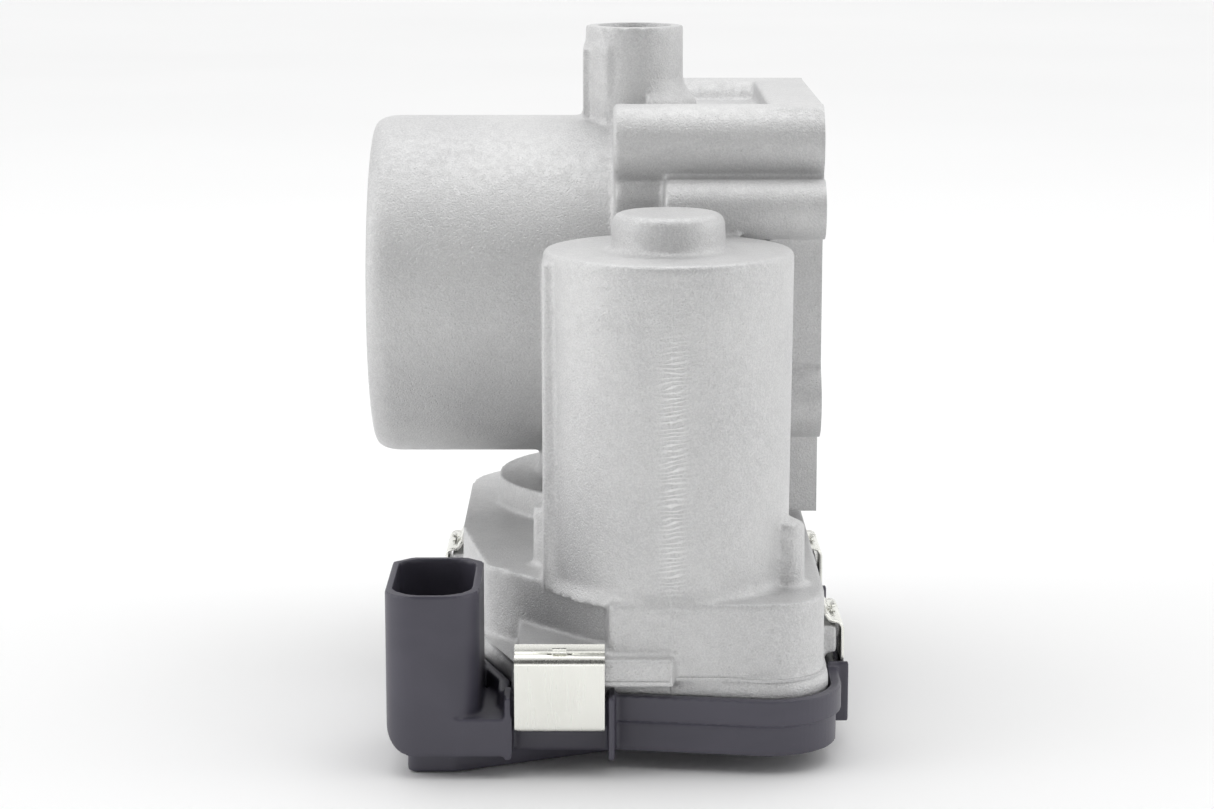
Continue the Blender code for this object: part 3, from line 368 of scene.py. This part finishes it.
def machining():
    """Everything that is milled, bored and drilled out of the casting."""
    yield box((FLANGE_FACE_X, 42.0), (-50.0, 50.0), (-39.0, 50.0))
    yield box((-15.6, 45.0), (-60.0, 60.0), (46.0, 60.0))
    bore = [(0, -48), (27.6, -48), (27.0, -45.9), (25.0, -30), (25.0, 30.9), (25.8, 32), (0, 32)]
    yield turned(bore, axis="X", segments=160)
    upper = [(0, -43.5), (8.15, -43.5), (8.15, -32.95), (6.15, -32.95), (6.15, -30.9), (4.05, -30.9)]
    upper += [(4.05, 25.8), (6.15, 25.8), (6.15, 45.2), (7.0, 47.0), (0, 47.0)]
    yield turned(upper, segments=64)
    yield tube(10.0, 21.5, -43.5, -36.9, segments=100)
    motor_room = [(0, -43.5), (17.6, -43.5), (17.6, 8.9), (5.4, 8.9), (5.4, 15), (0, 15)]
    yield turned(motor_room, MOTOR, segments=100)
    for y in BOLT_Y:
        hole = [(0, -5), (4.2, -5), (3.25, -2.9), (3.25, 30.8), (4.2, 32), (0, 32)]
        yield turned(hole, (y, THROUGH_BOLT_Z), "X", 48)
        tapped = [(0, 10.6), (2.5, 12), (2.5, 30.5), (3.6, 32), (0, 32)]
        yield turned(tapped, (y, TAPPED_BOLT_Z), "X", 48)
    for _, place in MOTOR_SCREWS:
        yield rod(1.6, -43.5, -33.0, place, segments=24)
    yield rod(2.1, -46.8, -41.2, AXLE, segments=32)
    yield box((-30.0, 5.0), (-79.0, -77.8), (-51.8, -49.0))
    axle_boss = rod(4.2, -45.8, CASE_ROOF_Z + 1, AXLE)
    stops = []
    for angle in (math.radians(14), math.radians(168)):
        place = (23.5 * math.cos(angle), 23.5 * math.sin(angle))
        stops.append(rod(1.9, -52.5, CASE_ROOF_Z + 1, place))
    upper_room = prism(outline(CASE, -2.6), -51.0, CASE_ROOF_Z)
    lower_room = prism(outline(LEDGE, -4.0), -56.8, -50.6)
    cavity = join(upper_room, lower_room)
    yield cut(cavity, axle_boss, *stops)


def casting():
    body = softened(merged(*rough_casting()), 0.5, 6, 230000)
    case_ridge = prism(outline(CASE, 0.3), -52.2, -51.75)
    ledge_ridge = prism(outline(LEDGE, 0.35), -52.4, -51.95)
    for ridge in (case_ridge, ledge_ridge):
        applied(body, "BOOLEAN", operation="UNION", solver="MANIFOLD", object=ridge)
        bpy.data.objects.remove(ridge)
    for tool in machining():
        carve(body, tool)
    return body


# ---------------------------------------------------------------- cover and connector


def connector_outline():
    left, right, front, rear, chamfer = -39.8, -24.9, -80.0, -54.0, 3.0
    corners = (
        (right, front, 5.5),
        (right, rear - chamfer, 1.0),
        (right - chamfer, rear, 1.0),
        (left + chamfer, rear, 1.0),
        (left, rear - chamfer, 1.0),
        (left, front, 5.5),
    )
    return outline(corners)


def socket_outline():
    left, right, front, rear = -38.6, -26.1, -78.8, -55.2
    return rounded(((right, front, 5.4), (right, rear, 4.0), (left, rear, 4.0), (left, front, 5.4)))


def connector_shell():
    """The socket's shell, whose lower corner is rounded towards the foot."""
    shell = prism(connector_outline(), -63.4, -37.5)
    side = rounded(((-39.8, -63.4, 4.2), (-20.0, -63.4, 0.3), (-20.0, -30.0, 0.3), (-39.8, -30.0, 0.3)))
    return combine(shell, [prism(side, -85.0, -50.0, "Y")], "INTERSECT")


def rib_pair(name, place, heading):
    root = -5.0 if name == "clip_front" else -1.5
    for side in (-8.2, 8.2):
        rib = [(root, side - 0.6), (1.9, side - 0.45), (1.9, side + 0.45), (root, side + 0.6)]
        yield placed(prism(rib, COVER_BASE_Z, -54.0), place, heading)


def cover():
    rim = prism(outline(LEDGE, 2.8), -59.0, -54.7)
    band = prism(outline(LEDGE, 2.0), COVER_BASE_Z, -58.0)
    foot = prism(outline(FOOT), -67.0, -63.0)
    bridge = box((-33.0, -19.8), (-80.0, -62.0), (-63.4, -57.3))
    seat = box((-20.2, -4.4), (-78.1, -74.1), (-59.0, -54.9))
    ribs = [rib for name, place, heading in CLIPS for rib in rib_pair(name, place, heading)]
    body = join(rim, band, foot, connector_shell(), bridge, seat, *ribs)
    hollow = prism(outline(LEDGE, 1.1), -56.7, -53.7)
    floor = prism(outline(LEDGE, -1.2), -62.0, -55.8)
    socket = prism(socket_outline(), -57.0, -36.5)
    holes = [box((x - 0.45, x + 0.45), (y - 0.85, y + 0.85), (-58.6, -56.0)) for x, y in PINS]
    cut(body, hollow, floor, socket, *holes)
    join(body, tube(2.1, 4.2, -62.5, -58.8, AXLE))
    return softened(body, 0.3, 2, 190000)


# ---------------------------------------------------------------- clips


def clip(place, heading):
    """A spring clip: the strip hooks under the rim, climbs the lug, dips behind it and turns up again."""
    path = [(-0.5, -59.4), (0.95, -59.4), (0.95, -48.4), (0.2, -47.45), (-1.0, -47.6), (-1.9, -46.2)]
    strip = prism(ribbon(bent_path(path, 0.9), CLIP_THICKNESS), -CLIP_HALF_WIDTH, CLIP_HALF_WIDTH, "Y")
    tab_path = [(-0.4, -47.6), (-0.45, -46.5), (0.35, -46.35)]
    tab = prism(ribbon(bent_path(tab_path, 0.4), 0.4), -1.1, 1.1, "Y")
    notches = [box((-0.9, 0.1), (y - 0.35, y + 0.35), (-47.9, -46.9)) for y in (-1.6, 1.6)]
    body = cut(join(strip, tab), *notches)
    applied(body, "BEVEL", width=0.09, segments=2, limit_method="ANGLE", angle_limit=math.radians(40))
    return placed(body, place, heading)


# ---------------------------------------------------------------- valve, plug and pins


def turned_to_rest(obj):
    obj.data.transform(Matrix.Rotation(REST_ANGLE, 4, "Z"))
    return obj


def plate_screw_holes():
    return [rod(PLATE_SCREW_HOLE, -6.0, 6.0, (0, z), "X", 24) for z in PLATE_SCREWS_Z]


def throttle_plate():
    """A disc whose rim is chamfered, with holes for the two screws."""
    edge = [(0, -1.0), (24.3, -1.0), (24.8, -0.6), (24.8, 0.6), (24.3, 1.0), (0, 1.0)]
    disc = turned(edge, axis="X", segments=180)
    cut(disc, *plate_screw_holes())
    return turned_to_rest(disc)


def throttle_shaft():
    ends = [(0, -58.6), (3.6, -58.6), (4.0, -58.2), (4.0, 36.6), (3.6, 37.0), (0, 37.0)]
    shape = turned(ends, segments=72)
    slot = box((-1.15, 1.15), (-6.0, 6.0), (-24.9, 24.9))
    seat = [(0, -6.0), (3.0, -6.0), (2.75, -3.9), (2.75, -2.4), (0, -2.4)]
    seats = [turned(seat, (0, z), "X", 36) for z in PLATE_SCREWS_Z]
    cut(shape, slot, *seats, *plate_screw_holes())
    applied(shape, "BEVEL", width=0.08, segments=2, limit_method="ANGLE", angle_limit=math.radians(40))
    return turned_to_rest(shape)


def plate_screw(z):
    """A pan-head screw with a six-lobed socket and a staked tip."""
    profile = [(0, -4.1), (1.9, -4.1), (2.3, -3.9), (2.5, -3.5), (2.5, -2.65), (1.45, -2.65)]
    for number in range(12):
        height = -2.2 + number * 0.5
        profile += [(1.45, height), (1.28, height + 0.25)]
    shape = turned(profile + [(1.1, 3.9), (0, 3.9)], (0, z), "X", 40)
    lobes = []
    for number in range(36):
        angle = number * 2 * math.pi / 36
        radius = 1.1 + 0.22 * math.cos(6 * angle)
        lobes.append((radius * math.cos(angle), z + radius * math.sin(angle)))
    return turned_to_rest(cut(shape, prism(lobes, -5.0, -3.1, "X")))


def end_plug():
    """A dished cup pressed into the top of the shaft bore."""
    profile = [(0, 40.5), (4.6, 40.5), (5.1, 40.9), (5.3, 41.6), (5.4, 42.0), (5.95, 42.0), (6.0, 41.9)]
    return turned(profile + [(6.0, 40.2), (5.8, 40.0), (0, 40.0)], segments=72)


def connector_pin(x, y):
    """A blade with a coined, tapered tip."""
    blade = [(y - 0.75, -58.4), (y + 0.75, -58.4), (y + 0.75, -46.2), (y + 0.35, -45.2), (y + 0.2, -45.0)]
    blade += [(y - 0.2, -45.0), (y - 0.35, -45.2), (y - 0.75, -46.2)]
    pin = prism(blade, x - 0.35, x + 0.35, "X")
    return applied(pin, "BEVEL", width=0.12, segments=2, limit_method="ANGLE", angle_limit=math.radians(50))


# ---------------------------------------------------------------- materials


class Look:
    """A material and short ways to add nodes to it. Coordinates are the part's own, in metres."""

    def __init__(self, name, metallic=0.0, **sockets):
        self.material = bpy.data.materials.new(name)
        self.material.use_nodes = True
        self.tree = self.material.node_tree
        self.shader = self.tree.nodes["Principled BSDF"]
        self.shader.inputs["Metallic"].default_value = metallic
        for key, value in sockets.items():
            self.shader.inputs[key.replace("_", " ")].default_value = value
        self.place = self.tree.nodes.new("ShaderNodeTexCoord").outputs["Object"]

    def link(self, value, socket):
        if isinstance(value, bpy.types.NodeSocket):
            self.tree.links.new(value, socket)
        else:
            socket.default_value = value

    def maths(self, operation, first, second=0.0, third=0.0):
        node = self.tree.nodes.new("ShaderNodeMath")
        node.operation = operation
        for value, socket in zip((first, second, third), node.inputs):
            self.link(value, socket)
        return node.outputs[0]

    def stretched(self, scale, turn=(0, 0, 0)):
        node = self.tree.nodes.new("ShaderNodeMapping")
        self.link(self.place, node.inputs["Vector"])
        node.inputs["Scale"].default_value = scale
        node.inputs["Rotation"].default_value = turn
        return node.outputs[0]

    def noise(self, scale, detail=2.0, roughness=0.5, vector=None, distortion=0.0):
        node = self.tree.nodes.new("ShaderNodeTexNoise")
        self.link(vector or self.place, node.inputs["Vector"])
        node.inputs["Scale"].default_value = scale
        node.inputs["Detail"].default_value = detail
        node.inputs["Roughness"].default_value = roughness
        node.inputs["Distortion"].default_value = distortion
        return node.outputs["Fac"]

    def cells(self, scale):
        node = self.tree.nodes.new("ShaderNodeTexVoronoi")
        self.link(self.place, node.inputs["Vector"])
        node.inputs["Scale"].default_value = scale
        return node.outputs["Distance"]

    def wave(self, scale, direction, distortion=0.0, detail=1.0, vector=None):
        node = self.tree.nodes.new("ShaderNodeTexWave")
        node.bands_direction = direction
        self.link(vector or self.place, node.inputs["Vector"])
        node.inputs["Scale"].default_value = scale
        node.inputs["Distortion"].default_value = distortion
        node.inputs["Detail"].default_value = detail
        return node.outputs["Fac"]

    def span(self, value, low, high, start=0.0, end=1.0):
        node = self.tree.nodes.new("ShaderNodeMapRange")
        node.interpolation_type = "SMOOTHSTEP"
        self.link(value, node.inputs["Value"])
        for key, number in (("From Min", low), ("From Max", high), ("To Min", start), ("To Max", end)):
            node.inputs[key].default_value = number
        return node.outputs["Result"]

    def axis(self, name):
        node = self.tree.nodes.new("ShaderNodeSeparateXYZ")
        self.link(self.place, node.inputs[0])
        return node.outputs[name]

    def ridge(self, name, middle, width):
        """1 on the plane where the coordinate has that value, falling away over the width."""
        away = self.maths("DIVIDE", self.maths("SUBTRACT", self.axis(name), middle), width)
        return self.maths("EXPONENT", self.maths("MULTIPLY", self.maths("MULTIPLY", away, away), -1.0))

    def ramp(self, value, *stops):
        node = self.tree.nodes.new("ShaderNodeValToRGB")
        self.link(value, node.inputs["Fac"])
        elements = node.color_ramp.elements
        while len(elements) < len(stops):
            elements.new(0.5)
        for element, (position, colour) in zip(elements, stops):
            element.position = position
            element.color = (*colour, 1.0)
        return node.outputs["Color"]

    def blended(self, amount, first, second):
        node = self.tree.nodes.new("ShaderNodeMix")
        node.data_type = "RGBA"
        sockets = [socket for socket in node.inputs if socket.type == "RGBA"]
        self.link(amount, node.inputs[0])
        self.link(first, sockets[0])
        self.link(second, sockets[1])
        return [socket for socket in node.outputs if socket.type == "RGBA"][0]

    def bump(self, height, strength, depth, below=None):
        node = self.tree.nodes.new("ShaderNodeBump")
        node.inputs["Strength"].default_value = strength
        node.inputs["Distance"].default_value = depth
        self.link(height, node.inputs["Height"])
        if below:
            self.link(below, node.inputs["Normal"])
        return node.outputs["Normal"]

    def done(self, colour, roughness, normal=None):
        self.link(colour, self.shader.inputs["Base Color"])
        self.link(roughness, self.shader.inputs["Roughness"])
        if normal:
            self.link(normal, self.shader.inputs["Normal"])
        return self.material


def cast_aluminium():
    look = Look("cast_aluminium", metallic=0.75)
    grain = look.noise(3000, 3.0, 0.65)
    fine = look.noise(5200, 2.0, 0.6)
    pits = look.span(look.cells(1500), 0.05, 0.32)
    blotch = look.noise(55, 3.0, 0.55)
    x, y, z = (middle * MM + offset for middle, offset in zip((5.5, -70.0, 0.0), ORIGIN))
    across = look.ridge("X", x, 1.7 * MM)
    along = look.maths(
        "MULTIPLY",
        look.span(look.axis("Z"), z - 41 * MM, z - 34 * MM),
        look.span(look.axis("Z"), z + 6 * MM, z - 4 * MM),
    )
    front = look.span(look.axis("Y"), y, y - 2 * MM)
    drag = look.maths("MULTIPLY", look.maths("MULTIPLY", across, along), front)
    scrape = look.wave(430, "Z", 9.0, 2.0, vector=look.stretched((0.35, 0.35, 1.0), (0.0, 0.35, 0.0)))
    scrape = look.maths("MULTIPLY", look.span(scrape, 0.35, 0.95), drag)
    seam = look.maths("MULTIPLY", look.ridge("X", x - 0.2 * MM, 0.16 * MM), front)
    colour = look.ramp(blotch, (0.3, (0.57, 0.57, 0.575)), (0.7, (0.66, 0.66, 0.66)))
    colour = look.blended(look.span(grain, 0.38, 0.66, 0.0, 0.5), colour, (0.78, 0.78, 0.775, 1))
    colour = look.blended(look.span(fine, 0.55, 0.72, 0.0, 0.35), colour, (0.42, 0.42, 0.43, 1))
    colour = look.blended(scrape, colour, (0.86, 0.86, 0.86, 1))
    height = look.maths("ADD", grain, look.maths("MULTIPLY", pits, 0.35))
    normal = look.bump(height, 0.7, 0.0002)
    normal = look.bump(look.maths("ADD", scrape, seam), 0.6, 0.00012, normal)
    rough = look.span(look.noise(700, 2.0), 0.3, 0.7, 0.46, 0.6)
    return look.done(colour, rough, normal)


def machined_aluminium():
    look = Look("machined_aluminium", metallic=1.0)
    marks = look.wave(1600, "X", 1.5, 2.0)
    streaks = look.noise(900, 3.0, 0.6, look.stretched((3.0, 0.4, 0.4)))
    colour = look.ramp(streaks, (0.3, (0.66, 0.66, 0.67)), (0.7, (0.78, 0.78, 0.78)))
    normal = look.bump(look.maths("ADD", marks, streaks), 0.25, 0.00003)
    return look.done(colour, look.span(streaks, 0.3, 0.7, 0.24, 0.36), normal)


def moulded(name, dark, light, rough=(0.38, 0.5)):
    """A moulded plastic with a fine texture, faint flow marks and a few scuffs."""
    look = Look(name)
    texture = look.noise(3200, 2.0, 0.6)
    flow = look.noise(40, 3.0, 0.55, look.stretched((1.0, 0.4, 1.6)), 0.8)
    scratches = look.stretched((0.5, 2.4, 1.3), (0.4, 0.2, 0.6))
    scuffs = look.span(look.noise(260, 4.0, 0.75, scratches), 0.66, 0.78)
    colour = look.ramp(flow, (0.35, dark), (0.7, light))
    colour = look.blended(look.maths("MULTIPLY", scuffs, 0.12), colour, (*(3.2 * c for c in light), 1))
    rougher = look.span(look.maths("ADD", texture, scuffs), 0.3, 1.2, *rough)
    return look.done(colour, rougher, look.bump(texture, 0.18, 0.00008))


def metal(name, dark, light, rough, stretch=(1.0, 1.0, 0.06), relief=0.12):
    """A worked metal with fine lines along one direction and faint uneven toning."""
    look = Look(name, metallic=1.0)
    lines = look.noise(2200, 3.0, 0.6, look.stretched(stretch))
    tone = look.noise(120, 3.0, 0.5)
    mottle = look.maths("MULTIPLY_ADD", lines, 0.35, look.maths("MULTIPLY", tone, 0.65))
    colour = look.ramp(mottle, (0.35, dark), (0.65, light))
    return look.done(colour, look.span(lines, 0.3, 0.7, *rough), look.bump(lines, relief, 0.00004))


def dull(name, dark, light, rough=(0.6, 0.8)):
    """A sintered, pressed or rubbery surface with a fine random grain."""
    look = Look(name)
    grain = look.noise(1200, 4.0, 0.65)
    mottle = look.maths("MULTIPLY_ADD", grain, 0.5, look.maths("MULTIPLY", look.noise(90), 0.5))
    colour = look.ramp(mottle, (0.35, dark), (0.65, light))
    return look.done(colour, look.span(grain, 0.3, 0.7, *rough), look.bump(grain, 0.25, 0.0001))


def circuit_board():
    look = Look("circuit_board")
    tracks = look.span(look.wave(260, "X", 2.5, 1.0), 0.72, 0.8)
    weave = look.noise(2600, 2.0, 0.5, look.stretched((1.0, 0.2, 1.0)))
    colour = look.blended(look.maths("MULTIPLY", tracks, 0.35), (0.01, 0.09, 0.045, 1), (0.03, 0.2, 0.1, 1))
    return look.done(colour, look.span(weave, 0.3, 0.7, 0.3, 0.45), look.bump(weave, 0.15, 0.00004))


def make_looks():
    looks = {
        "cast_aluminium": cast_aluminium(),
        "black_plastic": moulded("black_plastic", (0.058, 0.055, 0.074), (0.072, 0.068, 0.091)),
        "gear_plastic": moulded("gear_plastic", (0.72, 0.69, 0.60), (0.80, 0.77, 0.68), (0.32, 0.42)),
        "rubber_seal": dull("rubber_seal", (0.012, 0.012, 0.013), (0.022, 0.022, 0.024), (0.55, 0.7)),
        "spring_steel": metal(
            "spring_steel", (0.81, 0.81, 0.76), (0.86, 0.86, 0.81), (0.24, 0.28), relief=0.04
        ),
        "steel": metal("steel", (0.50, 0.50, 0.51), (0.62, 0.62, 0.63), (0.26, 0.4)),
        "plate_brass": metal(
            "plate_brass", (0.62, 0.47, 0.24), (0.72, 0.56, 0.30), (0.25, 0.38), (1.0, 0.06, 1.0)
        ),
        "circuit_board": circuit_board(),
        "tinned_contact": metal("tinned_contact", (0.66, 0.66, 0.65), (0.76, 0.76, 0.75), (0.2, 0.3)),
        "ferrite": dull("ferrite", (0.035, 0.036, 0.038), (0.06, 0.06, 0.062)),
        "brush_carbon": dull("brush_carbon", (0.02, 0.019, 0.018), (0.045, 0.042, 0.04), (0.4, 0.6)),
        "sintered_bronze": dull("sintered_bronze", (0.30, 0.19, 0.09), (0.42, 0.27, 0.13), (0.45, 0.6)),
        "copper": metal("copper", (0.60, 0.26, 0.14), (0.75, 0.36, 0.2), (0.25, 0.4), (1.0, 1.0, 0.2)),
    }
    missing = [m["slot"] for m in frame["record"]["materials"] if m["slot"] not in looks]
    if missing:
        raise ValueError(f"no look for {missing}")
    return looks


# ---------------------------------------------------------------- putting the object together


def finish(obj, name, look, body, angle=SMOOTH_ANGLE):
    """Puts a piece in the frame in metres, gives it its look and body, and lets it stand for its CAD node."""
    obj.name = "v_" + name
    obj.data.transform(TO_WORLD)
    obj.data.materials.clear()
    obj.data.materials.append(look)
    obj.data.shade_smooth()
    obj.data.set_sharp_from_angle(angle=math.radians(angle))
    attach(obj, body)
    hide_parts(name)
    return obj


def mark_machined(obj, look):
    """Gives the flange face and the bores the machined look."""
    mesh = obj.data
    mesh.materials.append(look)
    centre = np.zeros(len(mesh.polygons) * 3)
    normal = np.zeros(len(mesh.polygons) * 3)
    mesh.polygons.foreach_get("center", centre)
    mesh.polygons.foreach_get("normal", normal)
    centre = (centre.reshape(-1, 3) - np.array(ORIGIN)) / MM
    normal = normal.reshape(-1, 3)
    face = (centre[:, 0] > FLANGE_FACE_X - 0.1) & (normal[:, 0] > 0.9)
    from_bore = np.hypot(centre[:, 1], centre[:, 2])
    inward = normal[:, 1] * centre[:, 1] + normal[:, 2] * centre[:, 2] < 0
    bore = (from_bore < 27.7) & inward & (np.hypot(centre[:, 0], centre[:, 1]) > 7)
    mesh.polygons.foreach_set("material_index", (face | bore).astype(np.int32))


def build_object(looks):
    cast, plastic = looks["cast_aluminium"], looks["black_plastic"]
    housing = finish(casting(), "throttle_housing", cast, "housing", CAST_SMOOTH_ANGLE)
    mark_machined(housing, machined_aluminium())
    finish(cover(), "gear_cover", plastic, "housing", CAST_SMOOTH_ANGLE)
    for name, place, heading in CLIPS:
        finish(clip(place, heading), name, looks["spring_steel"], "housing")
    finish(end_plug(), "end_plug", looks["steel"], "housing")
    for number, (x, y) in enumerate(PINS, 1):
        pin = f"connector_pin_{number}"
        finish(connector_pin(x, y), pin, looks["tinned_contact"], "housing")
    finish(throttle_plate(), "throttle_plate", looks["plate_brass"], "throttle")
    finish(throttle_shaft(), "throttle_shaft", looks["steel"], "throttle")
    for name, z in zip(("plate_screw_lower", "plate_screw_upper"), PLATE_SCREWS_Z):
        finish(plate_screw(z), name, looks["steel"], "throttle")


def dress_frame(looks):
    """Gives each CAD node the detailed look of its slot."""
    for node in frame["nodes"].values():
        for index, material in enumerate(node.data.materials):
            node.data.materials[index] = looks[material.name.split(".")[0]]


# ---------------------------------------------------------------- stage, light and camera


def lamp(name, place, aim, size, power):
    data = bpy.data.lights.new(name, "AREA")
    data.shape = "RECTANGLE"
    data.size, data.size_y = size
    data.energy = power
    made = bpy.data.objects.new(name, data)
    made.location = place
    made.rotation_euler = (Vector(aim) - Vector(place)).to_track_quat("-Z", "Y").to_euler()
    bpy.context.scene.collection.objects.link(made)


def card(name, corners):
    """A dark board that the camera doesn't see and that bright surfaces reflect."""
    shape = bmesh.new()
    shape.faces.new([shape.verts.new(corner) for corner in corners])
    board = solid(shape, name)
    look = Look(name, **{"Specular_IOR_Level": 0.0})
    tone = look.ramp(look.noise(2.0), (0.3, (0.05, 0.05, 0.05)), (0.7, (0.09, 0.09, 0.09)))
    board.data.materials.append(look.done(tone, 0.9))
    board.visible_camera = False
    board.visible_shadow = False


def stage():
    shape = bmesh.new()
    for x, y in ((-6, -6), (6, -6), (6, 6), (-6, 6)):
        shape.verts.new((x, y, -0.0002))
    shape.faces.new(shape.verts)
    floor = solid(shape, "floor")
    look = Look("floor", **{"Specular_IOR_Level": 0.1})
    tone = look.ramp(look.noise(3.0, 2.0), (0.3, (0.93, 0.93, 0.93)), (0.7, (0.95, 0.95, 0.95)))
    floor.data.materials.append(look.done(tone, 0.7))
    world = bpy.data.worlds.new("studio")
    world.use_nodes = True
    world.node_tree.nodes["Background"].inputs["Color"].default_value = (1.0, 1.0, 1.0, 1.0)
    world.node_tree.nodes["Background"].inputs["Strength"].default_value = 1.0
    bpy.context.scene.world = world
    card("card_front", ((-0.9, -0.95, 0.10), (0.9, -0.95, 0.10), (0.9, -0.80, 1.15), (-0.9, -0.80, 1.15)))
    lamp("top", (0.0, 0.15, 0.8), (0, 0, 0.04), (0.8, 0.8), 1.6)
    lamp("front_low", (-0.05, -0.85, 0.06), (0, 0, 0.03), (1.3, 0.22), 1.0)
    lamp("left", (-0.7, -0.15, 0.3), (0, 0, 0.06), (0.35, 0.7), 0.9)
    lamp("right", (0.7, -0.05, 0.3), (0, 0, 0.06), (0.35, 0.7), 0.5)


def camera():
    data = bpy.data.cameras.new("camera")
    data.lens = 87.48
    data.sensor_width = 36.0
    data.clip_start = 0.01
    made = bpy.data.objects.new("camera", data)
    made.location = (0.0008, -0.50205, 0.1448)
    made.rotation_euler = (math.radians(79.2), 0.0, 0.0)
    bpy.context.scene.collection.objects.link(made)
    bpy.context.scene.camera = made


camera()
looks = make_looks()
dress_frame(looks)
build_object(looks)
stage()
bpy.context.scene.view_settings.view_transform = "Standard"
bpy.context.view_layer.update()
